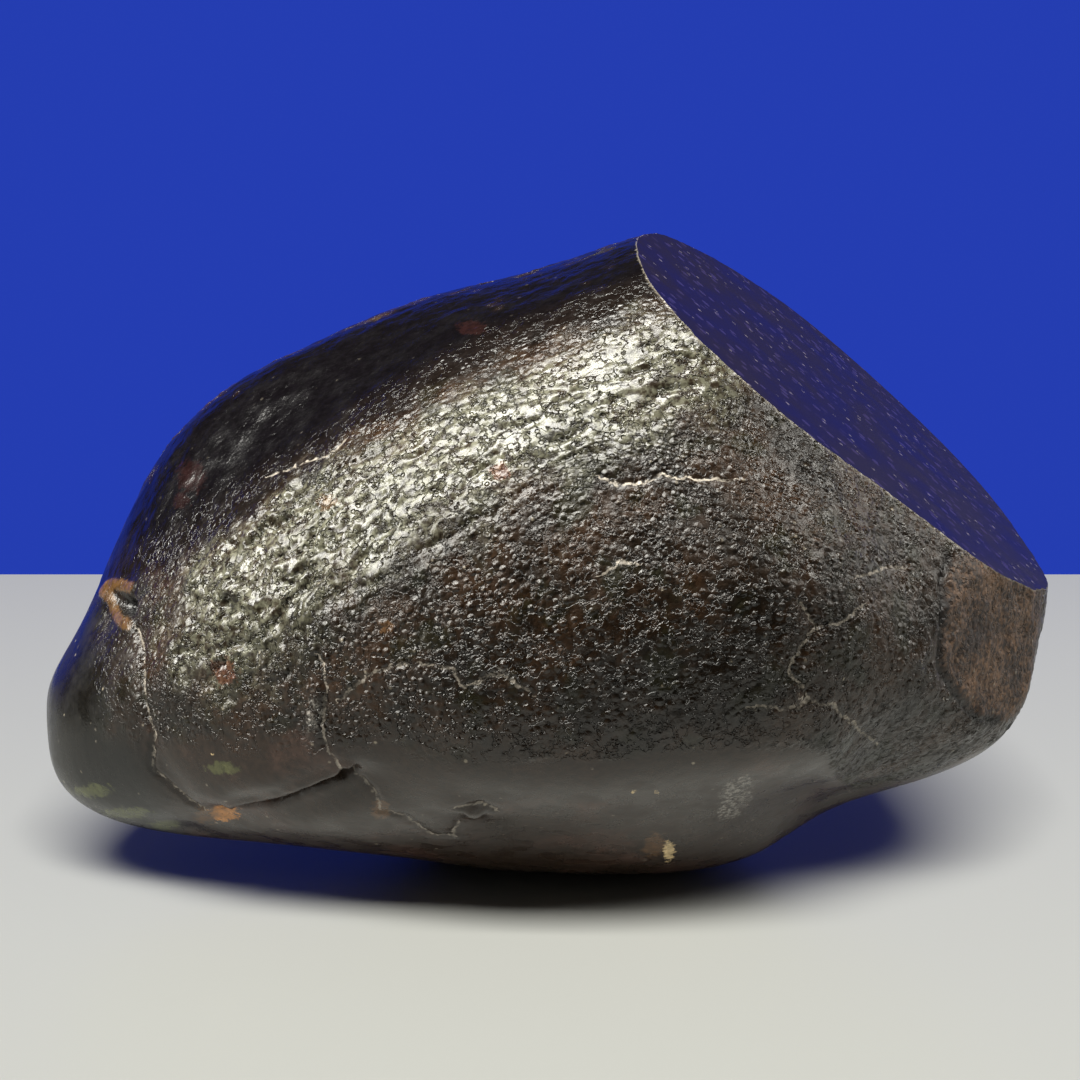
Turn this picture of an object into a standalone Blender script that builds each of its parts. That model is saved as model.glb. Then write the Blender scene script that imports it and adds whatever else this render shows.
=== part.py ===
# Chondrite meteorite: one solid stone with a rounded lobe at its left end, a sawn and
# polished face at the upper right, a small fracture facet at the right end and a flat
# spot underneath that it rests on.
#
# Metres, +Z up. +X is the stone's long way, -Y is the side that is seen from the front,
# and the stone stands on Z = 0 with the middle of its box over the origin.
# The named sizes are in millimetres.

import math

import bmesh
import bpy
import numpy as np
from mathutils import Vector, noise

MM = 0.001
STONE_NAME = "meteorite"

# The whole stone
HEART = (0.0, 0.0, 22.0)          # point that every survey point is seen from
ROUNDS = 6                        # subdivisions of the ball that is pushed out to the stone
KEPT_SHARE = 0.42                 # triangles kept where the surface is plain

# Places on the surface, measured round the stone as x, y, z
SURVEY = {
    "crown": [(-35.5, 1, 24.5), (-32, 3, 32.5), (-26.5, 6, 38.5), (-20, 7, 42),
              (-12, 8, 45.5), (-4, 9, 47.5), (4.5, 10, 50)],
    "left end": [(-37, -1, 20.5), (-38, -2, 18.5), (-39.5, -2, 16), (-39.5, -3, 12.5),
                 (-38.5, -4, 8.5), (-36, -5, 6.5)],
    "lower edge": [(-29, -8, 5.5), (-24, -10, 6), (-21, -10, 5.5), (-18, -10, 5), (-10, -10, 4.5),
                   (-5, -9, 3.2), (1, -8, 2.2), (12, -8, 2.6), (16.5, -8, 4),
                   (22, -8, 8), (29.5, -8, 10)],
    "right end": [(35, -6, 12), (37.5, -4, 15), (39.5, -2, 21.5), (37, -7.5, 21), (34, -13.5, 20)],
    "front ridge": [(5, -18, 40), (-3, -18.5, 37.5), (-13.5, -18.5, 31.5), (-20.5, -17, 26.5),
                    (-27, -12, 25)],
    "top slope": [(-3.5, -7, 45), (-12.5, -6, 41.5), (-21.5, -6, 36), (3.5, -7, 47.5),
                  (-13, -13, 37.5), (-21, -12, 32)],
    "belly": [(-34, -10, 16.5), (-28, -15, 18.5), (-21, -19, 20), (-13, -22.5, 25),
              (-2, -26, 20.5), (3.5, -25.5, 29.5), (9.5, -26.5, 21.5), (20, -23.5, 26.5),
              (24, -20.5, 19.5), (26, -18.5, 25.5)],
    "turn under": [(-28.5, -14, 12), (-20.5, -19, 13.5), (-10, -23, 15.5), (-9, -18, 9.5),
                   (1, -17, 8.5), (11, -16, 8.5), (17, -20.5, 14.5), (23.5, -17, 15)],
    "saw edge, front": [(7, -10.5, 47.5), (14, -17.5, 40), (23, -16.5, 33),
                        (32, -13.5, 26.5), (39, -4, 24)],
    "saw edge, back": [(9, 8.5, 51.5), (17, 22.5, 48.5), (24.5, 27.5, 44), (33, 25, 36.5),
                       (39.5, 15, 28.5), (40, 8, 26)],
    "sawn off": [(18, 4, 52), (29, 8, 45), (35, 7, 37)],
    "back": [(-31, 10, 24), (-24, 20, 20), (-20, 17, 34), (-12, 24, 24), (-8, 19, 41),
             (2, 27, 26), (4, 22, 46), (14, 29, 30), (26, 27, 28), (35, 21, 22)],
    "back foot": [(-30, 8, 9), (-20, 16, 8), (-8, 21, 9), (6, 24, 10), (18, 23, 12),
                  (28, 19, 14), (36, 10, 15)],
    "underside": [(-24, 2, 4), (-12, 4, 1), (-1, 4, -0.4), (9, 4, -0.4), (5, -2, 0.2),
                  (18, 6, 2.5), (26, 5, 7.5), (-4, 13, 1), (8, 14, 1.5)],
}

# The sawn face, a plane: how far it lies from the origin and which way it looks
SAW_TILT = 40.5                   # degrees from straight up
SAW_TURN = -19.5                  # degrees from +X towards -Y
SAW_DISTANCE = 42.7

# The fracture facet on the right end, also a plane
FACET_TILT = 91.0
FACET_TURN = -44.0
FACET_DISTANCE = 31.8

REST_HEIGHT = 0.0                 # the stone is worn flat below this

# Hollows and swellings: place, spread, and height (below zero for a hollow)
LUMPS = {
    "ochre pit": ((-32.6, -6.6, 22.9), 1.0, -1.4),
    "eye bump": ((-5.0, -20.6, 11.2), 1.1, 0.7),
    "hollow over the eye bump": ((-4.6, -21.6, 12.8), 0.7, -0.4),
    "scoop under the right end": ((23.0, -10.0, 8.5), 1.8, -0.7),
    "notch under the seam": ((-26.8, -9.0, 6.0), 1.0, -0.5),
    "thumbprint, back left": ((-17.0, 21.0, 27.0), 3.6, -1.8),
    "thumbprint, back right": ((14.0, 29.0, 20.0), 4.2, -2.0),
    "thumbprint, back top": ((-6.0, 20.0, 42.0), 3.0, -1.2),
    "thumbprint, far right": ((37.0, 14.0, 20.0), 2.7, -1.3),
    "hollow, underside left": ((-19.0, 6.0, 3.0), 3.6, -1.2),
    "hollow, underside right": ((22.0, 10.0, 6.0), 3.0, -1.2),
}
LUMP_REACH = 5.0                  # spreads from its middle at which a lump has faded out

# The seam where the left lobe meets the body, and the ledge where it overlaps it, both as
# x, z on the front. They lie left of LOBE_END.
LOBE_END = -10.0
LOBE_SEAM = [(-30.3, 21.8), (-29.2, 19.5), (-28.7, 16.7), (-28.3, 13.5), (-27.3, 11.2),
             (-25.0, 9.2), (-24.5, 7.0)]
SEAM_DEPTH = 0.45
SEAM_SPREAD = 0.55
LEDGE = [(-13.6, 14.2), (-15.6, 13.0), (-17.3, 12.0), (-19.0, 11.3), (-21.0, 10.7), (-23.0, 9.4)]
RECESS_DEPTH = 1.2
RECESS_SPREAD = 0.8
RECESS_BELOW = 0.9                # from the ledge down to the middle of the recess
LIP_HEIGHT = 0.5
LIP_SPREAD = 1.2
LIP_ABOVE = 1.2                   # from the ledge up to the middle of the lip

WAVES_HEIGHT = 0.2                # gentle unevenness all over
WAVES_LENGTH = 9.0

CUTTER_SIZE = 120.0

CRUST_COLOUR = (0.045, 0.038, 0.034, 1.0)
CRUST_ROUGHNESS = 0.42
CRUST_METALLIC = 0.25


def facing(tilt, turn):
    """Unit vector tilted from straight up, and turned from +X about the vertical."""
    tilt, turn = math.radians(tilt), math.radians(turn)
    return Vector((math.sin(tilt) * math.cos(turn), math.sin(tilt) * math.sin(turn), math.cos(tilt)))


def new_collection(name):
    """Make a collection and link it to the scene."""
    collection = bpy.data.collections.new(name)
    bpy.context.scene.collection.children.link(collection)
    return collection


def move_to(obj, collection):
    """Put an object in one collection only."""
    for other in list(obj.users_collection):
        other.objects.unlink(obj)
    collection.objects.link(obj)


def unit_rows(rows):
    """Scale each row of an array to length one."""
    return rows / np.linalg.norm(rows, axis=1, keepdims=True)


def survey_surface():
    """Smooth surface through the survey points, as a function from directions to radii."""
    points = np.array([point for group in SURVEY.values() for point in group], dtype=float)
    arms = points - np.array(HEART)
    radii = np.linalg.norm(arms, axis=1)
    known = unit_rows(arms)
    count = len(known)
    gaps = np.linalg.norm(known[:, None, :] - known[None, :, :], axis=2)
    plain = np.hstack([np.ones((count, 1)), known])
    system = np.zeros((count + 4, count + 4))
    system[:count, :count] = gaps ** 3
    system[:count, count:] = plain
    system[count:, :count] = plain.T
    answer = np.linalg.solve(system, np.concatenate([radii, np.zeros(4)]))
    weights, base = answer[:count], answer[count:]

    def radius(directions):
        reach = np.linalg.norm(directions[:, None, :] - known[None, :, :], axis=2) ** 3
        return reach @ weights + base[0] + directions @ base[1:]

    return radius


def distance_to_line(point, line):
    """Distance in x and z from a point to a bent line, signed: above zero on its lower side."""
    best = None
    for start, end in zip(line, line[1:]):
        start, end = Vector(start), Vector(end)
        run = end - start
        share = max(0.0, min(1.0, (point - start).dot(run) / run.length_squared))
        gap = point - (start + run * share)
        if best is None or gap.length < abs(best):
            below = run.x * gap.y - run.y * gap.x > 0.0
            best = gap.length if below else -gap.length
    return best


def hump(distance, spread):
    """Bell curve, one in the middle and near zero three spreads away."""
    return math.exp(-0.5 * (distance / spread) ** 2)


def rise_at(point):
    """How far the surface stands out at a point, from its waves, lumps, seam and ledge."""
    rise = WAVES_HEIGHT * noise.noise(point / WAVES_LENGTH)
    for place, spread, height in LUMPS.values():
        distance = (point - Vector(place)).length
        if distance < LUMP_REACH * spread:
            rise += height * hump(distance, spread)
    if point.y < 0.0 and point.x < LOBE_END:
        flat = Vector((point.x, point.z))
        rise -= SEAM_DEPTH * hump(distance_to_line(flat, LOBE_SEAM), SEAM_SPREAD)
        below = distance_to_line(flat, LEDGE)
        rise -= RECESS_DEPTH * hump(below - RECESS_BELOW, RECESS_SPREAD)
        rise += LIP_HEIGHT * hump(below + LIP_ABOVE, LIP_SPREAD)
    return rise


def make_lump(collection):
    """The stone before sawing: a ball pushed out to the surveyed surface, then its relief."""
    bm = bmesh.new()
    bmesh.ops.create_icosphere(bm, subdivisions=ROUNDS, radius=1.0)
    directions = unit_rows(np.array([vert.co[:] for vert in bm.verts]))
    radii = survey_surface()(directions)
    places = np.array(HEART) + directions * radii[:, None]
    for vert, place in zip(bm.verts, places):
        vert.co = Vector(place)
    bm.normal_update()
    moves = [vert.normal * rise_at(vert.co) for vert in bm.verts]
    for vert, move in zip(bm.verts, moves):
        vert.co = (vert.co + move) * MM
    mesh = bpy.data.meshes.new(STONE_NAME)
    bm.to_mesh(mesh)
    bm.free()
    stone = bpy.data.objects.new(STONE_NAME, mesh)
    collection.objects.link(stone)
    return stone


def make_cutter(name, look, distance, collection):
    """A block whose lower face is the plane that looks along look, distance from the origin."""
    bpy.ops.mesh.primitive_cube_add(size=CUTTER_SIZE * MM)
    block = bpy.context.object
    block.name = name
    block.rotation_mode = "QUATERNION"
    block.rotation_quaternion = look.to_track_quat("Z", "Y")
    block.location = look * (distance + CUTTER_SIZE / 2.0) * MM
    block.display_type = "WIRE"
    block.hide_render = True
    move_to(block, collection)
    return block


def cut_with(stone, cutter):
    """Cut the stone with a block."""
    cut = stone.modifiers.new(cutter.name, "BOOLEAN")
    cut.operation = "DIFFERENCE"
    cut.object = cutter


def thin_out(stone):
    """Keep fewer triangles where the surface is plain."""
    thin = stone.modifiers.new("fewer triangles", "DECIMATE")
    thin.ratio = KEPT_SHARE


def crust_material():
    """Dark fusion crust with a dull metallic gloss."""
    material = bpy.data.materials.new("crust")
    material.use_nodes = True
    shader = material.node_tree.nodes["Principled BSDF"]
    shader.inputs["Base Color"].default_value = CRUST_COLOUR
    shader.inputs["Roughness"].default_value = CRUST_ROUGHNESS
    shader.inputs["Metallic"].default_value = CRUST_METALLIC
    return material


def centre_over_origin(pieces, collection):
    """Hang the stone and its cutters on an empty that puts the middle of the stone over the origin."""
    stone = pieces[0]
    evaluated = stone.evaluated_get(bpy.context.evaluated_depsgraph_get())
    corners = [vert.co for vert in evaluated.data.vertices]
    middle_x = (min(c.x for c in corners) + max(c.x for c in corners)) / 2.0
    middle_y = (min(c.y for c in corners) + max(c.y for c in corners)) / 2.0
    stand = bpy.data.objects.new("stone's place", None)
    collection.objects.link(stand)
    for piece in pieces:
        piece.parent = stand
    stand.location = (-middle_x, -middle_y, 0.0)


def main():
    for obj in list(bpy.data.objects):
        bpy.data.objects.remove(obj)
    parts = new_collection("chondrite meteorite")
    cutters = new_collection("cutters")
    stone = make_lump(parts)
    stone.data.materials.append(crust_material())
    stone.data.shade_smooth()
    thin_out(stone)
    planes = [("facet cutter", facing(FACET_TILT, FACET_TURN), FACET_DISTANCE),
              ("saw cutter", facing(SAW_TILT, SAW_TURN), SAW_DISTANCE),
              ("rest cutter", Vector((0.0, 0.0, -1.0)), -REST_HEIGHT)]
    blocks = [make_cutter(name, look, distance, cutters) for name, look, distance in planes]
    for block in blocks:
        cut_with(stone, block)
    centre_over_origin([stone] + blocks, parts)


main()
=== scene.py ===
import math

import bmesh
import bpy
import numpy as np
from mathutils import Matrix, Vector, noise
from mathutils.bvhtree import BVHTree


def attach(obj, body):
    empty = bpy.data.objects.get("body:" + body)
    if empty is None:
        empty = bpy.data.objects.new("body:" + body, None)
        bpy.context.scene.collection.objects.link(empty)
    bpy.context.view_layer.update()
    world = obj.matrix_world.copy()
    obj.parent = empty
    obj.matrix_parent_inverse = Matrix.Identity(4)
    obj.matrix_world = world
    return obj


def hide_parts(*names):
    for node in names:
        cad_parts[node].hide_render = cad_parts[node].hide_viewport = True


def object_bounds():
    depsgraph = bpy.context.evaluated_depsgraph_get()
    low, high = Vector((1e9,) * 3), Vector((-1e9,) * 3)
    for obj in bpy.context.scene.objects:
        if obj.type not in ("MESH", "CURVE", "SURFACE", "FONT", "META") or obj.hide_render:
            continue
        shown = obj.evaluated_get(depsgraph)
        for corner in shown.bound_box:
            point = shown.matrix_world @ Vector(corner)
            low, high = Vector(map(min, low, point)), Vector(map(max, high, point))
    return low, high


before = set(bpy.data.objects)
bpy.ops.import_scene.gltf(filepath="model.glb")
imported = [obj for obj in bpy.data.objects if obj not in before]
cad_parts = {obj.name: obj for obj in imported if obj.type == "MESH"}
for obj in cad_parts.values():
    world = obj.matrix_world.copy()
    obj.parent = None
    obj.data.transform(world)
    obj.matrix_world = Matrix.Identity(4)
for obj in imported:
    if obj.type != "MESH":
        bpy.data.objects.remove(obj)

cadLow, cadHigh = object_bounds()

# The camera of the photograph. Pixels below are pixels of this 1080 x 1080 frame, x right and y down.
camera = {
    "place": (-0.000655, -0.13134, 0.04523),
    "pitch": 8,                 # degrees down
    "lens": 55,
    "sensor": 36,
    "side": 1080,
    "clipStart": 0.005,
}

# The stone's shape. Lengths are millimetres.
stone = {
    "meshSize": 0.61,           # halved on the side that the camera sees
    "smoothing": 10,            # rounds before the finer mesh
    "lastSmoothing": 2,         # and after it
    "pastCut": 3.0,             # how far the crust runs on before the saw takes it off
    "crown": 0.7,               # height of the ridge under the glossy band
    "crownWidth": 6.5,
    "chin": 1.0,                # swell of the front face over the smooth underside
    "chinHeight": 4.5,
    "waves": 0.10,
    "scales": 0.12,             # wrinkles of the glossy band
    "scaleSize": 1.3,
    "creases": 0.22,            # longer creases that run along it
    "creaseGap": 2.4,
    "dents": 0.32,              # the larger dents where the band meets the lobe
    "dentSize": 2.1,
    "grains": 0.09,             # bumps of the front
    "grainSize": 0.8,
    "dimples": 0.08,            # shallow dimples of the top with painted shade
    "fracture": 0.2,            # roughness of the broken facet
    "groove": 0.3,              # groove round the facet
    "grooveWidth": 0.35,
    "crackWidth": 0.22,
    "ledge": 1.1,               # how deep the crust drops under the ledge
    "ledgeWidth": 0.32,
    "ledgeLip": 0.3,
    "lipWidth": 0.5,
    "pit": 1.1,                 # depth of the pit at the lobe's top
    "pitLip": 0.2,
    "knob": 0.35,               # in the eye-shaped crack
    "streak": 0.2,              # raised streak beside the low crack
    "bandGrains": 0.2,          # share of the grains that the band keeps
    "calmRelief": 0.12,         # share of all relief that the smooth underside keeps, and so on
    "lobeRelief": 0.35,
    "topRelief": 0.28,
    "farTopRelief": 0.14,
    "highest": 0.3,             # the relief is cut off above this
    "sunk": 0.12,               # how far the crust lies under the CAD surface
    "seed": 7,
}

# Lines that the photograph shows, as pixels.
bandLine = [(690, 362), (640, 378), (600, 400), (500, 435), (440, 480), (350, 520), (270, 570), (230, 605)]
topLine = [(672, 300), (600, 318), (500, 350), (430, 390), (350, 437), (300, 477), (250, 511), (205, 547),
           (165, 577), (120, 588)]
calmEdge = [(110, 738), (190, 738), (330, 740), (450, 748), (600, 752), (640, 742), (700, 740), (790, 738),
            (822, 745), (838, 775), (855, 793), (900, 784), (950, 766), (985, 748)]
facetEdge = [(952, 556), (944, 578), (946, 606), (943, 640), (941, 666), (953, 686), (968, 706), (979, 719),
             (999, 722)]
ledgeLine = [(347, 770), (338, 776), (320, 783), (298, 792), (275, 799), (253, 803), (238, 806)]
pitRim = [(131, 588), (118, 584), (106, 585), (101, 590), (110, 597), (114, 608), (119, 619), (129, 626)]
streakLine = [(314, 694), (314, 732)]

# Cracks: how pale each shows, its depth in mm and its line.
cracks = {
    "lobe": (0.6, 0.3, [(135, 629), (142, 649), (142, 685), (145, 712), (152, 736), (150, 768), (168, 785),
                        (186, 801), (202, 810)]),
    "low": (0.7, 0.2, [(320, 658), (326, 685), (322, 716), (322, 739), (327, 752), (334, 761), (343, 770)]),
    "eye": (0.5, 0.2, [(343, 769), (363, 780), (376, 795), (380, 812), (404, 817), (421, 830), (434, 838),
                       (452, 838), (460, 823)]),
    "eyeArc": (0.5, 0.2, [(456, 808), (480, 801), (495, 808)]),
    "middle": (0.5, 0.12, [(339, 700), (365, 678), (393, 665), (421, 665), (452, 669), (460, 685),
                           (474, 685), (487, 676), (500, 674), (530, 691)]),
    "high": (1.0, 0.12, [(603, 479), (617, 485), (636, 485), (663, 474), (675, 478), (705, 479), (732, 479)]),
    "fork": (0.8, 0.25, [(802, 603), (819, 627), (808, 640), (795, 660), (789, 673), (804, 690), (808, 699)]),
    "forkBranch": (0.8, 0.2, [(819, 627), (828, 625), (845, 623), (855, 615), (865, 605)]),
    "cross": (0.6, 0.12, [(747, 705), (760, 701), (780, 703), (793, 703), (808, 699), (828, 701), (841, 714),
                          (854, 723), (860, 731), (877, 744)]),
    "top": (0.7, 0.1, [(270, 475), (330, 455), (345, 440)]),
    "curl": (0.7, 0.1, [(603, 575), (618, 562), (635, 563)]),
    "sideArc": (0.6, 0.1, [(861, 575), (878, 571), (891, 565), (906, 567)]),
}

# Spots of other colours: middle, half width and half height, in pixels.
spots = {
    "ochre": [(385, 627, 7, 7), (380, 812, 9, 11), (330, 505, 10, 8), (206, 816, 13, 9), (655, 847, 13, 12)],
    "orange": [(224, 815, 15, 9)],
    "cream": [(669, 853, 6, 11), (633, 787, 3, 3), (656, 789, 3, 4), (212, 754, 2, 2)],
    "rust": [(502, 475, 12, 10), (225, 672, 14, 14)],
    "wine": [(190, 475, 15, 16), (472, 326, 15, 8), (180, 500, 9, 9)],
    # olive patches of the crust; the thin strips along the lobe's lower edge are a painted reflection of the
    # pale table
    "oliveAndReflection": [(222, 769, 16, 7), (92, 792, 20, 7), (128, 814, 26, 6), (165, 826, 16, 5)],
    "chalk": [(735, 793, 16, 20), (728, 812, 12, 9), (742, 774, 9, 7), (314, 712, 9, 20), (500, 673, 10, 6)],
}
pitSpot = [(129, 606, 8, 12)]
knobSpot = [(474, 811, 13, 9)]


def smoothStep(values, low, high):
    t = np.clip((values - low) / (high - low), 0, 1)
    return t * t * (3 - 2 * t)


def fade(values, low, high):
    return 1 - smoothStep(values, low, high)


def hump(distance, width):
    return np.exp(-(distance / width) ** 2)


# The camera's own axes and a ray through a pixel.

pitch = math.radians(camera["pitch"])
ahead = Vector((0, math.cos(pitch), -math.sin(pitch)))
upward = Vector((0, math.sin(pitch), math.cos(pitch)))
focal = camera["lens"] / camera["sensor"] * camera["side"]


def rayThrough(x, y):
    half = camera["side"] / 2
    return (ahead + Vector((1, 0, 0)) * ((x - half) / focal) + upward * ((half - y) / focal)).normalized()


# The stone: the CAD surface, evened out and run on past the saw cut.

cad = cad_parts["meteorite"]


def readPlaces(mesh):
    flat = np.empty(len(mesh.vertices) * 3)
    mesh.vertices.foreach_get("co", flat)
    return flat.reshape(-1, 3) * 1000


def readNormals(mesh):
    flat = np.empty(len(mesh.vertices) * 3)
    mesh.vertices.foreach_get("normal", flat)
    return flat.reshape(-1, 3)


def writePlaces(mesh, places):
    mesh.vertices.foreach_set("co", (places / 1000).ravel())
    mesh.update()


def flatAreas(mesh, sameWay=0.9995, sameLevel=3e-5):
    # the three largest planes of the CAD solid, each as its normal, distance in mm and area in mm2
    rest = sorted(mesh.polygons, key=lambda face: -face.area)
    found = []
    while rest and len(found) < 3:
        seed = rest[0]
        level = seed.center.dot(seed.normal)
        same = [f for f in rest if f.normal.dot(seed.normal) > sameWay
                and abs(f.center.dot(seed.normal) - level) < sameLevel]
        rest = [f for f in rest if f not in same]
        area = sum(f.area for f in same)
        normal = sum((f.normal * f.area for f in same), Vector()).normalized()
        found.append((normal, sum(f.center.dot(normal) * f.area for f in same) / area * 1000, area * 1e6))
    return sorted(found, key=lambda plane: -plane[2])


# from large to small: the saw cut, the flat that the stone rests on and the broken facet
(saw, sawLevel, _), (ground, _, _), (broken, brokenLevel, _) = flatAreas(cad.data)


def pastTheCut(work, sameWay=0.999, sameLevel=0.05):
    # the cut comes off and its rim is carried on, so that the crust runs right up to the saw
    onCut = [f for f in work.faces if f.normal.dot(saw) > sameWay
             and abs(f.calc_center_median().dot(saw) * 1000 - sawLevel) < sameLevel]
    bmesh.ops.delete(work, geom=onCut, context="FACES")
    rim = [edge for edge in work.edges if edge.is_boundary]
    outer = {}
    for vert in {v for edge in rim for v in edge.verts}:
        way = sum((saw - f.normal * saw.dot(f.normal) for f in vert.link_faces), Vector()).normalized()
        outer[vert] = work.verts.new(vert.co + way * stone["pastCut"] / 1000)
    middle = work.verts.new(sum((v.co for v in outer.values()), Vector()) / len(outer))
    for edge in rim:
        a, b = edge.verts
        work.faces.new((a, b, outer[b], outer[a]))
        work.faces.new((outer[a], outer[b], middle))
    bmesh.ops.recalc_face_normals(work, faces=work.faces)


def evenMesh(work):
    start = bpy.data.meshes.new("start")
    work.to_mesh(start)
    shape = bpy.data.objects.new("stone", start)
    bpy.context.scene.collection.objects.link(shape)
    even = shape.modifiers.new("even", "REMESH")
    even.mode = "VOXEL"
    even.voxel_size = stone["meshSize"] / 1000
    seen = shape.evaluated_get(bpy.context.evaluated_depsgraph_get())
    done = bpy.data.meshes.new_from_object(seen)
    shape.modifiers.clear()
    shape.data = done
    return shape


def smoothed(mesh, places, rounds, free):
    # each point moves half way to the middle of its neighbours, by its share in free
    pairs = np.empty(len(mesh.edges) * 2, dtype=np.int32)
    mesh.edges.foreach_get("vertices", pairs)
    a, b = pairs.reshape(-1, 2).T
    count = np.bincount(pairs, minlength=len(places))[:, None]
    for _ in range(rounds):
        total = np.stack([np.bincount(a, places[b, axis], len(places))
                          + np.bincount(b, places[a, axis], len(places)) for axis in range(3)], 1)
        places = places + (total / count - places) * (0.5 * free)[:, None]
    return places


def flatness(places, normals, plane, level, near=(0.15, 0.5), facing=(0.85, 0.96)):
    # 1 on a flat of the stone, 0 a little way off it
    plane = np.array(plane)
    return fade(np.abs(places @ plane - level), *near) * smoothStep(normals @ plane, *facing)


def finerInView(mesh, pastEdge=-0.1, pastSaw=0.6):
    # the side that the camera sees, and a little past its edges, gets half the mesh size
    work = bmesh.new()
    work.from_mesh(mesh)
    eye = Vector(camera["place"])
    inView = [f for f in work.faces
              if f.normal.dot((eye - f.calc_center_median()).normalized()) > pastEdge
              and f.calc_center_median().dot(saw) * 1000 < sawLevel + pastSaw]
    edges = list({edge for f in inView for edge in f.edges})
    bmesh.ops.subdivide_edges(work, edges=edges, cuts=1, use_grid_fill=True)
    work.to_mesh(mesh)
    work.free()
    mesh.update()


work = bmesh.new()
work.from_mesh(cad.data)
bmesh.ops.remove_doubles(work, verts=work.verts, dist=1e-6)
pastTheCut(work)
piece = evenMesh(work)
work.free()
mesh = piece.data

places = readPlaces(mesh)
normals = readNormals(mesh)
flats = np.maximum(flatness(places, normals, broken, brokenLevel), flatness(places, normals, ground, 0))
writePlaces(mesh, smoothed(mesh, places, stone["smoothing"], 1 - flats))
finerInView(mesh)
places = readPlaces(mesh)
flats = flatness(places, readNormals(mesh), ground, 0)
places = smoothed(mesh, places, stone["lastSmoothing"], 1 - flats)
writePlaces(mesh, places)
print("even mesh:", len(mesh.vertices), "points")


# Lines and spots of the photograph, laid on the stone.

normals = readNormals(mesh)
surface = BVHTree.FromPolygons((places / 1000).tolist(), [list(f.vertices) for f in mesh.polygons])
chance = np.random.default_rng(stone["seed"])
cutOff = 3.0                    # distances to a line or a spot are cut off here
wholeStone = 60.0               # or here, in mm, where the whole stone counts
longStride = 25                 # pixels between the points of an even line


def onStone(x, y):
    spot = surface.ray_cast(Vector(camera["place"]), rayThrough(x, y))[0]
    return None if spot is None else np.array(spot) * 1000


def trace(pixels, wander=1.2, stride=5):
    # a line drawn through pixels, a little unsteady, as points on the stone
    found = []
    for (x0, y0), (x1, y1) in zip(pixels, pixels[1:]):
        steps = max(1, round(math.hypot(x1 - x0, y1 - y0) / stride))
        for step in range(steps):
            t = step / steps
            shift = chance.uniform(-wander, wander, 2)
            found.append(onStone(x0 + (x1 - x0) * t + shift[0], y0 + (y1 - y0) * t + shift[1]))
    found.append(onStone(*pixels[-1]))
    return np.array([spot for spot in found if spot is not None])


def fromLine(line, reach=cutOff):
    # distance in mm to a line on the stone, and the same with the side of the line as its sign
    away = np.full(len(places), reach)
    side = np.full(len(places), reach)
    near = np.flatnonzero(((places > line.min(0) - reach) & (places < line.max(0) + reach)).all(1))
    starts, steps = line[:-1], np.diff(line, axis=0)
    offset = places[near, None] - starts
    share = np.clip((offset * steps).sum(2) / np.maximum((steps ** 2).sum(1), 1e-9), 0, 1)
    gap = offset - share[..., None] * steps
    distance = np.linalg.norm(gap, axis=2)
    best = distance.argmin(1)
    rows = np.arange(len(near))
    turn = np.cross(steps[best], normals[near])
    away[near] = np.minimum(distance[rows, best], reach)
    side[near] = away[near] * np.where((gap[rows, best] * turn).sum(1) < 0, -1, 1)
    return away, side


def asPixels(places, outOfSight=9999):
    # where each point shows in the photograph; points on far sides are sent out of it
    offset = places / 1000 - np.array(camera["place"])
    depth = offset @ np.array(ahead)
    hidden = (normals * offset).sum(1) > 0
    across = camera["side"] / 2 + focal * offset[:, 0] / depth + outOfSight * hidden
    return across, camera["side"] / 2 - focal * (offset @ np.array(upward)) / depth


def fromSpots(marks):
    # distance to the nearest spot, in radii of that spot
    away = np.full(len(places), cutOff)
    for column, row, wide, high in marks:
        away = np.minimum(away, np.hypot((across - column) / wide, (down - row) / high))
    return away


def swells(size, shift=0.0):
    # a soft noise with swells of a size in mm; the shift picks another part of it
    return np.array([noise.noise(p) for p in (places / size + shift).tolist()])


def ruggedness(size, octaves, shift, falloff=0.8, finer=2.1):
    # a rugged noise; each octave is finer and weaker than the last
    return np.array([noise.fractal(p, falloff, finer, octaves) for p in (places / size + shift).tolist()])


def flakes(points, size):
    # flakes of crust: each leans its own way, with a crease round it
    lean, crease = np.empty(len(points)), np.empty(len(points))
    for row, p in enumerate((points / size).tolist()):
        near, seeds = noise.voronoi(p)
        way = noise.cell_vector(seeds[0]) * 2 - Vector((1, 1, 1))
        lean[row] = (Vector(p) - seeds[0]).dot(way)
        crease[row] = near[1] - near[0]
    return lean * size, fade(crease, 0.0, 0.2)


# Zones of the crust, each 1 inside and 0 outside. A pair is where an edge begins and ends, in mm:
# a distance from its line in the photograph, or a place along the axis in the note.

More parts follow.
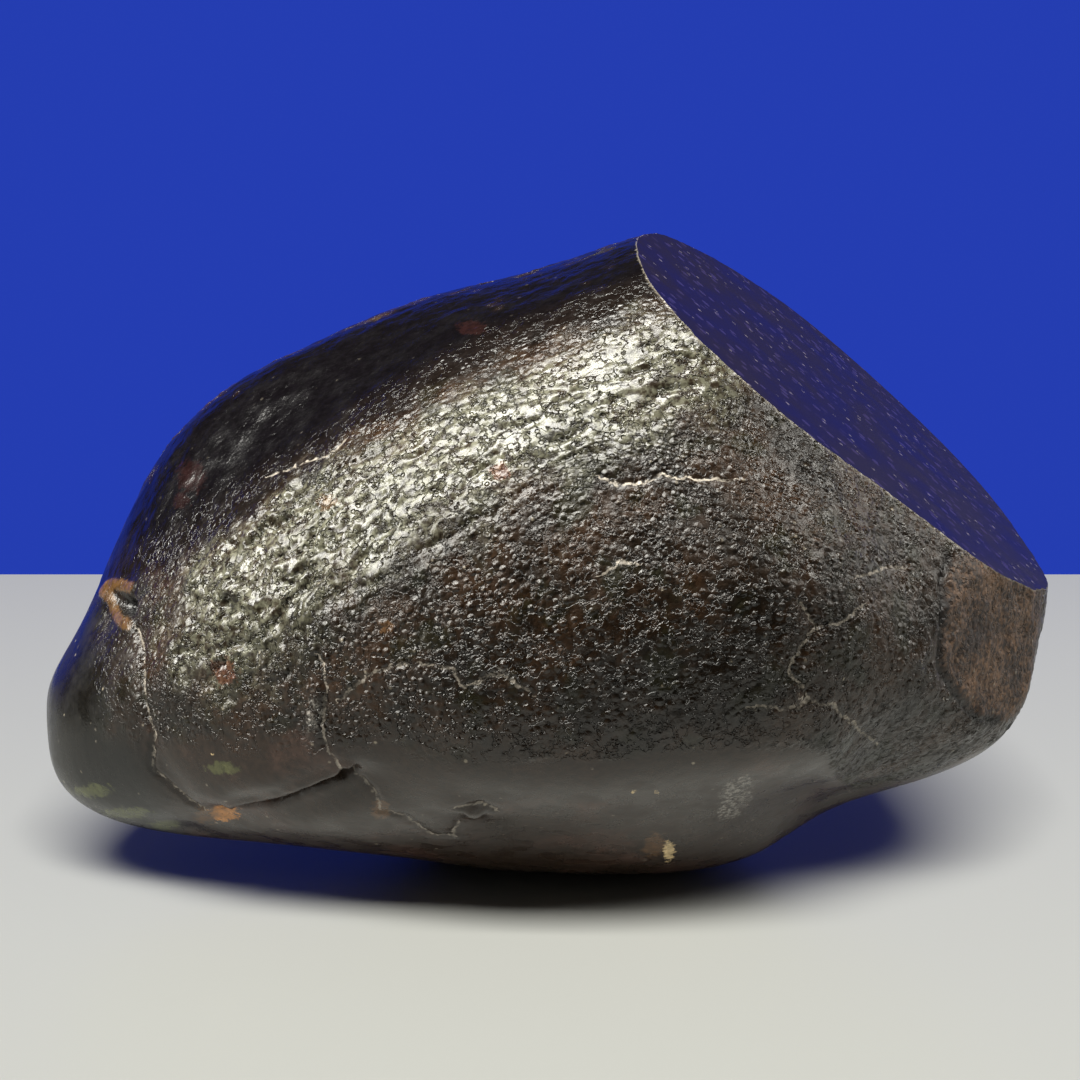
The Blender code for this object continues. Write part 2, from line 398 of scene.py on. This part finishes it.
zones = {
    "ragged": 2.5,              # size of the swells that make the edges ragged
    "band": (2.2, 6.4),
    "bandRagged": 1.8,
    "bandFan": (-24, -8),       # x; the band is wider to the left
    "fanWider": 0.3,
    "calmBack": 11,             # z of the smooth underside's edge behind
    "calmTurn": (-12, 5),       # y; the edge rises from its line to calmBack
    "calmSharp": 0.4,           # half width of the edge at the right
    "calmSofter": 1.1,          # wider by this at the left
    "calmSoft": (-9, 3),        # x
    "lobe": (-32, -27.5),       # x at waistHeight
    "lobeLean": 0.15,           # slope of its edge
    "lobeTip": (-36.0, -32.5),  # x at waistHeight
    "tipLean": 0.25,
    "waistHeight": 20,
    # the top above the band gets painted shade, darkest on its far part; topBack keeps it to the side that
    # faces the camera
    "shadedTop": (-1.6, 1.4),
    "shadedTopRagged": 2.0,
    "farShadedTop": (1.0, 6.0),
    "topFoot": (15, 20),        # z at footPlace
    "topLean": 0.4,
    "footPlace": -26,           # x
    "topBack": (-0.15, 0.15),   # how much the surface faces the camera
    "facetLevel": (0.5, 1.2),   # off the facet's plane
    "facetTilt": (0.8, 0.93),   # how much the surface faces its way
    "facetRim": (-0.15, 0.25),
    "creases": (5, 9),
    "dents": (-17, -9),         # x
    "chinFront": (10, 20),      # -y
    "chinLeft": (-14, -4),      # x
    "chinRight": (20, 27),      # x
}

x, y, z = places.T
across, down = asPixels(places)
ragged = ruggedness(zones["ragged"], 3, 9.0)

bandPlaces = trace(bandLine, wander=0, stride=longStride)
bandAway, bandSide = fromLine(bandPlaces, reach=wholeStone)
fan = 1 + zones["fanWider"] * fade(x, *zones["bandFan"])
inBand = fade(bandAway / fan + zones["bandRagged"] * ragged, *zones["band"])

edgeLine = trace(calmEdge, wander=0)
calmLevel = np.interp(x, edgeLine[:, 0], edgeLine[:, 2])
calmHere = calmLevel + (zones["calmBack"] - calmLevel) * smoothStep(y, *zones["calmTurn"])
calmHere += 0.5 * swells(4.0)
softer = zones["calmSofter"] * fade(x, *zones["calmSoft"])
calmLow = fade((z - calmHere) / (zones["calmSharp"] + softer) - 1.1 * ragged * softer, -1, 1)
aboveWaist = z - zones["waistHeight"]
calm = np.maximum(calmLow, fade(x + zones["tipLean"] * aboveWaist, *zones["lobeTip"]))
lobe = fade(x + zones["lobeLean"] * aboveWaist, *zones["lobe"])

# Painted shade on the top: darker above topLine, darkest on its far part, and only where the surface faces
# the camera
topSide = fromLine(trace(topLine, wander=0, stride=longStride), reach=wholeStone)[1]
toEye = np.array(camera["place"]) * 1000 - places
facing = (normals * toEye).sum(1) / np.linalg.norm(toEye, axis=1)
topShare = smoothStep(z + zones["topLean"] * (x - zones["footPlace"]), *zones["topFoot"])
topShare *= smoothStep(facing + 0.3 * ragged, *zones["topBack"])
shadedTop = smoothStep(topSide + zones["shadedTopRagged"] * ragged, *zones["shadedTop"]) * topShare
farShadedTop = smoothStep(topSide + ragged, *zones["farShadedTop"]) * topShare

facetSide = fromLine(trace(facetEdge, wander=0.5), reach=12.0)[1]
facetNear = np.abs(facetSide)
onFacet = flatness(places, normals, broken, brokenLevel, zones["facetLevel"], zones["facetTilt"])
onFacet *= smoothStep(-facetSide, *zones["facetRim"])
onGround = flatness(places, normals, ground, 0)

crackNear = np.full(len(places), cutOff)
crackSide = np.full(len(places), cutOff)
crackShow = np.zeros(len(places))
crackCut = np.zeros(len(places))
for show, depth, pixels in cracks.values():
    away, side = fromLine(trace(pixels))
    nearer = away < crackNear
    crackNear[nearer] = away[nearer]
    crackSide[nearer] = side[nearer]
    crackShow[nearer] = show
    crackCut = np.maximum(crackCut, depth * hump(away, stone["crackWidth"]))
ledgeNear, ledgeSide = fromLine(trace(ledgeLine, wander=0.5), reach=4.0)
pitNear = fromLine(trace(pitRim, wander=0.5))[0]
pitHole = fromSpots(pitSpot)
streakNear = fromLine(trace(streakLine, wander=0))[0]
print("zones, cracks and spots: done")

# The relief, in mm. Scales and dents are drawn out along the band.

along = bandPlaces[0] - bandPlaces[-1]
along /= np.linalg.norm(along)
drawnOut = places - np.outer(places @ along, along) * 0.5
drift = np.stack([swells(2.2, shift) for shift in (3.1, 17.7, 41.3)], 1) * 0.9
scaleLean, scaleCrease = flakes(drawnOut + drift, stone["scaleSize"])
dentLean, dentCrease = flakes(drawnOut + drift * 1.3, stone["dentSize"])
grainLean, grainCrease = flakes(places + drift * 0.6, stone["grainSize"])
rough = ruggedness(1.6, 4, 5.0)
stripe = bandSide / stone["creaseGap"] + 0.6 * swells(4.5, 2.0) + 0.25 * swells(1.7, 6.0)
stripe = smoothStep(np.abs(stripe % 1 - 0.5), 0.36, 0.5) * smoothStep(swells(3.2, 12.0), -0.1, 0.2)
inDents = inBand * fade(x, *zones["dents"])
offBand = 1 - inBand * (1 - stone["bandGrains"])

relief = stone["waves"] * (swells(4.2) + 0.5 * swells(1.9, 8.0))
relief += stone["scales"] * inBand * (scaleLean * 0.7 - scaleCrease)
relief -= stone["creases"] * stripe * fade(bandAway / fan, *zones["creases"])
relief += stone["dents"] * inDents * (dentLean * 0.6 - dentCrease)
relief += stone["grains"] * offBand * (grainLean * 1.2 - 0.8 * grainCrease + 0.6 * rough)
relief *= 1 - calm * (1 - stone["calmRelief"])
relief *= 1 - shadedTop * (1 - stone["topRelief"]) - farShadedTop * (stone["topRelief"] - stone["farTopRelief"])
relief *= 1 - lobe * (1 - stone["lobeRelief"])
relief += stone["dimples"] * shadedTop * (swells(1.7, 21.0) + 0.4 * swells(0.8, 27.0))
relief = relief * (1 - onFacet) + onFacet * stone["fracture"] * (rough + 0.4 * grainLean)
relief -= crackCut
relief -= stone["groove"] * hump(facetSide, stone["grooveWidth"]) * (1 - onFacet * 0.5)
onLedge = fade(ledgeNear, 1.2, 2.4)
relief -= stone["ledge"] * onLedge * hump(ledgeSide + stone["ledgeWidth"], stone["ledgeWidth"])
relief += stone["ledgeLip"] * onLedge * hump(ledgeSide - stone["lipWidth"], stone["lipWidth"])
relief -= stone["pit"] * fade(pitHole, 0.35, 1.0)
relief += stone["pitLip"] * fade(pitNear, 0.2, 0.8)
relief += stone["knob"] * fade(fromSpots(knobSpot), 0.2, 1.0)
relief += stone["streak"] * fade(streakNear, 0.3, 1.0)
relief = (np.minimum(relief, stone["highest"]) - stone["sunk"]) * (1 - onGround)

# broad swells: the ridge under the band, and the front face over its smooth underside
relief += stone["crown"] * hump(bandAway, stone["crownWidth"])
onChin = smoothStep(-y, *zones["chinFront"]) * smoothStep(x, *zones["chinLeft"])
onChin *= fade(x, *zones["chinRight"])
relief += stone["chin"] * onChin * hump(z - calmLevel, stone["chinHeight"])
places = places + normals * relief[:, None]
places = np.clip(places, np.array(cadLow) * 1000, np.array(cadHigh) * 1000)
writePlaces(mesh, places)
print("relief: done")

masks = {
    "band": inBand, "calm": calm, "lobe": lobe, "shadedTop": shadedTop, "farShadedTop": farShadedTop,
    "facet": onFacet, "facetNear": facetNear, "sawDepth": sawLevel - places @ np.array(saw),
    "crackNear": crackNear, "crackSide": crackSide, "crackShow": crackShow,
    "pitNear": pitNear, "pitHole": pitHole,
    **{name: fromSpots(marks) for name, marks in spots.items()},
}
for name, values in masks.items():
    mesh.attributes.new(name, "FLOAT", "POINT").data.foreach_set("value", values)


def sawThrough(mesh):
    # the crust comes off at the saw's plane, and the cut gets the second material
    work = bmesh.new()
    work.from_mesh(mesh)
    bmesh.ops.bisect_plane(work, geom=work.verts[:] + work.edges[:] + work.faces[:], dist=1e-6,
                           plane_co=saw * sawLevel / 1000, plane_no=saw, clear_outer=True)
    for face in work.faces:
        face.smooth = True
    rim = [edge for edge in work.edges if edge.is_boundary]
    for face in bmesh.ops.holes_fill(work, edges=rim)["faces"]:
        face.smooth = False
        face.material_index = 1
    for edge in rim:
        edge.smooth = False
    bmesh.ops.recalc_face_normals(work, faces=work.faces)
    work.to_mesh(mesh)
    work.free()


# Small helpers for the materials.

def newMaterial(name):
    material = bpy.data.materials.new(name)
    material.use_nodes = True
    material.node_tree.nodes.clear()
    return material


def put(tree, kind, values=None, out=0, **settings):
    # a node with its settings; each of its values is a number, a colour or another node's socket
    made = tree.nodes.new(kind)
    for key, value in settings.items():
        setattr(made, key, value)
    for key, value in (values or {}).items():
        if isinstance(value, bpy.types.NodeSocket):
            tree.links.new(value, made.inputs[key])
        else:
            made.inputs[key].default_value = value
    return made.outputs[out]


def maths(tree, operation, *values):
    return put(tree, "ShaderNodeMath", dict(enumerate(values)), operation=operation)


def times(tree, first, second):
    return maths(tree, "MULTIPLY", first, second)


def plus(tree, first, second):
    return maths(tree, "ADD", first, second)


def minus(tree, first, second):
    return maths(tree, "SUBTRACT", first, second)


def without(tree, mask, share):
    # 1 off the mask, less by the share on it
    return minus(tree, 1.0, times(tree, mask, share))


def span(tree, value, low, high, start=0.0, end=1.0):
    # start where the value is low, end where it is high, smooth between
    return put(tree, "ShaderNodeMapRange", {0: value, 1: low, 2: high, 3: start, 4: end},
               interpolation_type="SMOOTHSTEP")


def mix(tree, share, first, second):
    return put(tree, "ShaderNodeMix", {0: share, 6: first, 7: second}, out=2, data_type="RGBA")


def attribute(tree, name):
    return put(tree, "ShaderNodeAttribute", attribute_name=name, out=2)


def inMillimetres(tree):
    place = put(tree, "ShaderNodeTexCoord", out=3)
    return put(tree, "ShaderNodeVectorMath", {0: place, 3: 1000}, operation="SCALE")


def cloud(tree, place, size, detail=3.0, rough=0.55):
    values = {"Vector": place, "Scale": 1 / size, "Detail": detail, "Roughness": rough}
    return put(tree, "ShaderNodeTexNoise", values)


def cells(tree, place, size, out=0):
    return put(tree, "ShaderNodeTexVoronoi", {"Vector": place, "Scale": 1 / size}, out=out)


def cellTone(tree, place, size):
    # a value of its own for each cell
    return put(tree, "ShaderNodeSeparateColor", {0: cells(tree, place, size, out=1)})


def bump(tree, height, depth, under=None):
    values = {"Strength": 1.0, "Distance": depth / 1000, "Height": height}
    if under is not None:
        values["Normal"] = under
    return put(tree, "ShaderNodeBump", values)


def closeMaterial(tree, values):
    shader = put(tree, "ShaderNodeBsdfPrincipled", values)
    ending = tree.nodes.new("ShaderNodeOutputMaterial")
    tree.links.new(shader, ending.inputs[0])


def rgb(red, green, blue):
    # an sRGB colour of 0 to 255 as the linear colour of a socket
    linear = [((c / 255 + 0.055) / 1.055) ** 2.4 if c > 10 else c / 255 / 12.92 for c in (red, green, blue)]
    return (*linear, 1.0)


# The crust. Sizes and depths are millimetres.

crustLook = {
    "dark": rgb(25, 17, 9),
    "brown": rgb(50, 34, 21),
    "brownSize": 5.0,
    "green": rgb(31, 31, 17),
    "greenSize": 3.1,
    # pale tint of the band: a painted sheen
    "bandSheenTint": rgb(104, 103, 87),
    "calmTint": rgb(44, 32, 24),
    "calmPatch": rgb(70, 50, 41),
    "patchSize": 7.0,
    "lobeTint": rgb(14, 13, 10),
    # painted shade of the top, near and far; the far tint also paints the shade in the facet's groove and
    # inside the pit
    "topShadeBrown": rgb(20, 14, 11),
    "shadeTint": rgb(7, 5, 8),
    "facetDark": rgb(40, 28, 24),
    "facetPale": rgb(112, 85, 64),
    "sawRim": rgb(150, 142, 128),
    "crack": rgb(186, 176, 162),
    "orange": rgb(190, 128, 62),
    "ochre": rgb(112, 80, 48),
    "cream": rgb(218, 192, 146),
    "rust": rgb(112, 62, 42),
    "wine": rgb(48, 24, 21),
    # olive of the crust, also used for a painted reflection of the table along the lobe's lower edge
    "oliveAndReflection": rgb(98, 102, 62),
    "chalk": rgb(142, 137, 130),
    "pit": rgb(86, 62, 34),
    "speck": rgb(170, 160, 142),
    "ior": 1.5,
    "smoothest": 0.22,
    "roughest": 0.38,
    "beadSize": 0.55,
    "beadHeight": 0.15,
    "fineSize": 0.5,
    "fineHeight": 0.08,
    "holeSize": 0.65,
    "foldSize": 1.3,
    "foldDepth": 0.15,
    "dimpleSize": 0.6,
    "dimpleDepth": 0.05,
    "gritSize": 0.16,
    "gritHeight": 0.012,
}

# How strongly each kind of spot shows.
spotShow = {"orange": 0.9, "ochre": 0.5, "cream": 0.9, "rust": 0.5, "wine": 0.35, "oliveAndReflection": 0.6, "chalk": 0.8}


def zoneColour(tree, place, look, zone, fine):
    # browns and greens of the crust, then the tint of each zone over them, with a painted sheen in the band
    # and painted shade on the top
    brown = span(tree, cloud(tree, place, look["brownSize"], 4), 0.35, 0.65)
    green = span(tree, cloud(tree, place, look["greenSize"], 3), 0.52, 0.66)
    patch = span(tree, cloud(tree, place, look["patchSize"], 3), 0.5, 0.68)
    stain = plus(tree, times(tree, cloud(tree, place, 3.0, 3), 0.7), cloud(tree, place, 0.3, 4))

    colour = mix(tree, brown, look["dark"], look["brown"])
    colour = mix(tree, times(tree, green, 0.7), colour, look["green"])
    # painted sheen: a pale tint over the band, where the highlight falls
    inBand = times(tree, zone["band"], span(tree, fine, 0.38, 0.62, 0.1, 0.85))
    colour = mix(tree, inBand, colour, look["bandSheenTint"])
    colour = mix(tree, times(tree, zone["lobe"], 0.6), colour, look["lobeTint"])
    # painted shade on the top, darkest on its far part
    top = mix(tree, zone["farShadedTop"], look["topShadeBrown"], look["shadeTint"])
    colour = mix(tree, zone["shadedTop"], colour, top)
    even = mix(tree, patch, look["calmTint"], look["calmPatch"])
    even = mix(tree, zone["lobe"], even, look["lobeTint"])
    colour = mix(tree, times(tree, zone["calm"], 0.85), colour, even)
    facet = mix(tree, span(tree, stain, 0.66, 1.06), look["facetDark"], look["facetPale"])
    colour = mix(tree, zone["facet"], colour, facet)
    # painted shadow along the groove at the facet's left edge
    facetRim = span(tree, attribute(tree, "facetNear"), 0.7, 0.1, 0.0, 0.75)
    return mix(tree, facetRim, colour, look["shadeTint"])


def withSpecks(tree, look, zone, fine, bead, beadTone, colour):
    # pale specks in the middles of a few beads
    specks = times(tree, span(tree, beadTone, 0.95, 0.98), span(tree, bead, 0.34, 0.12))
    specks = times(tree, specks, span(tree, fine, 0.4, 0.6))
    specks = times(tree, specks, without(tree, zone["shadedTop"], 0.8))
    return mix(tree, times(tree, specks, 0.6), colour, look["speck"])


def withSpots(tree, place, look, colour):
    # each spot reaches to about one radius, with a ragged edge; the chalk is broken up as well
    ragged = times(tree, minus(tree, cloud(tree, place, 0.6, 4, 0.7), 0.5), 2.4)
    for name, show in spotShow.items():
        away = plus(tree, attribute(tree, name), ragged)
        share = times(tree, span(tree, away, 1.1, 0.7), show)
        if name == "chalk":
            share = times(tree, share, span(tree, cloud(tree, place, 0.35, 4, 0.7), 0.45, 0.58))
        colour = mix(tree, share, colour, look[name])
    rim = plus(tree, attribute(tree, "pitNear"), times(tree, ragged, 0.3))
    colour = mix(tree, span(tree, rim, 0.55, 0.3), colour, look["pit"])
    # painted shade inside the pit
    return mix(tree, span(tree, attribute(tree, "pitHole"), 1.0, 0.6), colour, look["shadeTint"])


def crackShare(tree, place, wobble):
    # a thin broken line along each crack
    line = maths(tree, "ABSOLUTE", plus(tree, attribute(tree, "crackSide"), wobble))
    near = span(tree, attribute(tree, "crackNear"), 0.6, 0.4)
    gaps = span(tree, cloud(tree, place, 0.7, 4, 0.65), 0.36, 0.56)
    onLine = times(tree, times(tree, span(tree, line, 0.15, 0.04), near), gaps)
    return times(tree, onLine, attribute(tree, "crackShow"))


def crustRoughness(tree, place, look, zone, onCrack):
    # smoother in the band and on the top with painted shade, rougher on the facet and in the cracks
    rough = span(tree, cloud(tree, place, 2.0, 4), 0.3, 0.7, look["smoothest"], look["roughest"])
    rough = minus(tree, rough, times(tree, zone["band"], 0.05))
    rough = plus(tree, rough, times(tree, zone["facet"], 0.3))
    rough = times(tree, rough, without(tree, zone["shadedTop"], 0.32))
    return plus(tree, rough, times(tree, onCrack, 0.3))


def crustRelief(tree, place, look, zone, fine, bead, beadTone):
    # lively is 1 on the rough crust and falls on the smooth underside, the lobe and the top with painted
    # shade
    lively = times(tree, minus(tree, 1.0, zone["calm"]), span(tree, zone["lobe"], 0.0, 1.0, 1.0, 0.3))
    top = plus(tree, times(tree, zone["shadedTop"], 0.72), times(tree, zone["farShadedTop"], 0.24))
    lively = times(tree, lively, minus(tree, 1.0, top))

    # beads on the front, fewer here and there
    beads = maths(tree, "SQRT", span(tree, bead, 0.55, 0.0))
    beads = times(tree, beads, span(tree, beadTone, 0.0, 0.8, 0.3, 1.0))
    beads = times(tree, beads, span(tree, cloud(tree, place, look["patchSize"], 0), 0.4, 0.6, 0.55, 1.0))
    beads = times(tree, beads, times(tree, without(tree, zone["band"], 0.92), lively))
    normal = bump(tree, beads, look["beadHeight"])
    skin = times(tree, lively, without(tree, zone["band"], 0.6))
    normal = bump(tree, times(tree, fine, skin), look["fineHeight"], normal)

    # pits and folds of the band
    holes = times(tree, span(tree, cells(tree, place, look["holeSize"]), 0.34, 0.18),
                  span(tree, cloud(tree, place, 1.3, 2), 0.38, 0.52))
    fold = maths(tree, "ABSOLUTE", minus(tree, cloud(tree, place, look["foldSize"], 3, 0.6), 0.5))
    folds = maths(tree, "MAXIMUM", holes, span(tree, fold, 0.03, 0.0))
    folds = times(tree, folds, span(tree, zone["band"], 0.0, 1.0, 0.65, 1.1))
    normal = bump(tree, times(tree, folds, lively), -look["foldDepth"], normal)

    dimples = times(tree, cloud(tree, place, look["dimpleSize"], 1), zone["shadedTop"])
    normal = bump(tree, dimples, look["dimpleDepth"], normal)
    return bump(tree, cloud(tree, place, look["gritSize"], 2), look["gritHeight"], normal)


def crustMaterial(look):
    material = newMaterial("crust")
    tree = material.node_tree
    place = inMillimetres(tree)
    zone = {name: attribute(tree, name) for name in ("band", "calm", "lobe", "shadedTop", "farShadedTop", "facet")}
    fine = cloud(tree, place, look["fineSize"], 4, 0.65)
    bead = cells(tree, place, look["beadSize"])
    beadTone = cellTone(tree, place, look["beadSize"])
    # cracks and the rim at the saw waver a little
    wobble = times(tree, minus(tree, fine, 0.5), 0.7)
    onCrack = crackShare(tree, place, wobble)
    onSawRim = span(tree, plus(tree, attribute(tree, "sawDepth"), wobble), 0.12, 0.04)

    colour = zoneColour(tree, place, look, zone, fine)
    colour = withSpecks(tree, look, zone, fine, bead, beadTone, colour)
    colour = withSpots(tree, place, look, colour)
    colour = mix(tree, onCrack, colour, look["crack"])
    colour = mix(tree, times(tree, onSawRim, 0.5), colour, look["sawRim"])
    tone = span(tree, fine, 0.25, 0.75, 0.55, 1.35)
    toned = put(tree, "ShaderNodeVectorMath", {0: colour, 3: tone}, operation="SCALE")
    closeMaterial(tree, {
        "Base Color": toned,
        "Roughness": crustRoughness(tree, place, look, zone, onCrack),
        "IOR": look["ior"],
        "Normal": crustRelief(tree, place, look, zone, fine, bead, beadTone),
    })
    return material


# The sawn and polished face: round chondrules and flecks of metal in a dark matrix.

cutLook = {
    "matrix": rgb(21, 12, 18),
    "chondrule": rgb(52, 41, 42),
    "chondruleSize": 1.0,
    "metal": rgb(110, 102, 108),
    "metalSize": 0.8,
    "ior": 1.4,
    "smoothest": 0.31,
    "roughest": 0.43,
}


def cutMaterial(look):
    material = newMaterial("cut")
    tree = material.node_tree
    place = inMillimetres(tree)
    disc = span(tree, cells(tree, place, look["chondruleSize"]), 0.42, 0.34)
    chondrules = times(tree, disc, span(tree, cellTone(tree, place, look["chondruleSize"]), 0.4, 0.9))
    colour = mix(tree, chondrules, look["matrix"], look["chondrule"])
    fleck = span(tree, cellTone(tree, place, look["metalSize"]), 0.8, 0.85)
    metal = times(tree, span(tree, cells(tree, place, look["metalSize"]), 0.26, 0.2), fleck)
    metal = times(tree, metal, span(tree, cloud(tree, place, 0.3, 3), 0.42, 0.5))
    colour = mix(tree, metal, colour, look["metal"])
    rough = span(tree, cloud(tree, place, 6.0, 4), 0.3, 0.7, look["smoothest"], look["roughest"])
    rough = minus(tree, rough, times(tree, chondrules, 0.12))
    closeMaterial(tree, {"Base Color": colour, "Roughness": rough, "IOR": look["ior"]})
    return material


mesh.materials.clear()
mesh.materials.append(crustMaterial(crustLook))
mesh.materials.append(cutMaterial(cutLook))
sawThrough(mesh)
piece.name = "meteorite_stone"
print("stone:", sum(len(f.vertices) - 2 for f in mesh.polygons), "triangles")
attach(piece, "root")
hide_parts("meteorite")


# The stage: a pale table top, a plain blue wall well behind it, soft lights and the camera. In metres.

stage = {
    "tableNear": -0.078,
    "tableFar": 0.148,
    "tableHalf": 0.20,
    "tableThick": 0.02,
    "tableTint": rgb(208, 210, 207),
    "tableRough": 0.42,
    "wallPlace": 0.62,
    "wallHalf": 0.9,
    "wallFoot": -0.5,
    "wallTop": 0.30,
    "wallThick": 0.01,
    "wallTint": rgb(36, 61, 177),
    "worldLight": 0.025,
    "worldTint": (1.0, 0.94, 0.84, 1.0),
    "lightTint": (1.0, 0.98, 0.91),
    "aim": (0, 0, 0.025),
}

# Way to each light, its distance, width, depth and brightness, and whether it lights the stone or the table.
lights = {
    "overhead": ((-0.08, -0.17, 0.98), 0.34, 0.17, 0.11, 25.0, "stone"),
    "upperLeft": ((-0.50, -0.11, 0.86), 0.34, 0.17, 0.11, 24.0, "stone"),
    "left": ((-0.84, -0.15, 0.52), 0.34, 0.12, 0.09, 24.0, "stone"),
    "lowLeft": ((-0.87, -0.28, 0.38), 0.34, 0.10, 0.07, 18.0, "stone"),
    "right": ((0.76, -0.18, 0.62), 0.40, 0.13, 0.10, 19.0, "stone"),
    "behindRight": ((0.90, 0.35, 0.25), 0.50, 0.25, 0.20, 2.5, "stone"),
    "tableFront": ((0.05, -0.66, 0.75), 1.40, 0.90, 0.32, 33.0, "table"),
}


def block(name, low, high, values):
    work = bmesh.new()
    bmesh.ops.create_cube(work, size=1)
    for vert in work.verts:
        vert.co = [l if c < 0 else h for c, l, h in zip(vert.co, low, high)]
    made = bpy.data.meshes.new(name)
    work.to_mesh(made)
    work.free()
    look = newMaterial(name)
    closeMaterial(look.node_tree, values)
    made.materials.append(look)
    thing = bpy.data.objects.new(name, made)
    bpy.context.scene.collection.objects.link(thing)
    return thing


def softLight(name, way, distance, width, depth, bright, lit):
    data = bpy.data.lights.new(name, "AREA")
    data.shape = "RECTANGLE"
    data.size, data.size_y = width, depth
    data.energy = bright * math.pi * width * depth
    data.color = stage["lightTint"]
    lamp = bpy.data.objects.new(name, data)
    bpy.context.scene.collection.objects.link(lamp)
    back = Vector(way).normalized()
    across = Vector((back.z, 0, -back.x)).normalized()
    lamp.location = Vector(stage["aim"]) + back * distance
    lamp.rotation_euler = Matrix((across, back.cross(across), back)).transposed().to_euler()
    lamp.visible_camera = False
    lamp.light_linking.receiver_collection = bpy.data.collections.new(name)
    lamp.light_linking.receiver_collection.objects.link(lit)


table = block("table", (-stage["tableHalf"], stage["tableNear"], -stage["tableThick"]),
              (stage["tableHalf"], stage["tableFar"], 0),
              {"Base Color": stage["tableTint"], "Roughness": stage["tableRough"]})
wall = block("wall", (-stage["wallHalf"], stage["wallPlace"], stage["wallFoot"]),
             (stage["wallHalf"], stage["wallPlace"] + stage["wallThick"], stage["wallTop"]),
             {"Base Color": (0, 0, 0, 1), "Roughness": 1.0,
              "Emission Color": stage["wallTint"], "Emission Strength": 1.0})

things = {"stone": piece, "table": table}
for name, (way, distance, width, depth, bright, lit) in lights.items():
    softLight(name, way, distance, width, depth, bright, things[lit])

world = bpy.data.worlds.new("studio")
world.use_nodes = True
background = world.node_tree.nodes["Background"]
background.inputs[0].default_value = stage["worldTint"]
background.inputs[1].default_value = stage["worldLight"]
bpy.context.scene.world = world

eyeData = bpy.data.cameras.new("camera")
eyeData.lens = camera["lens"]
eyeData.sensor_width = camera["sensor"]
eyeData.clip_start = camera["clipStart"]
eye = bpy.data.objects.new("camera", eyeData)
bpy.context.scene.collection.objects.link(eye)
eye.location = camera["place"]
eye.rotation_euler = (math.radians(90) - pitch, 0, 0)
bpy.context.scene.camera = eye
bpy.context.scene.view_settings.view_transform = "Standard"
print("stage:", len(lights), "lights")
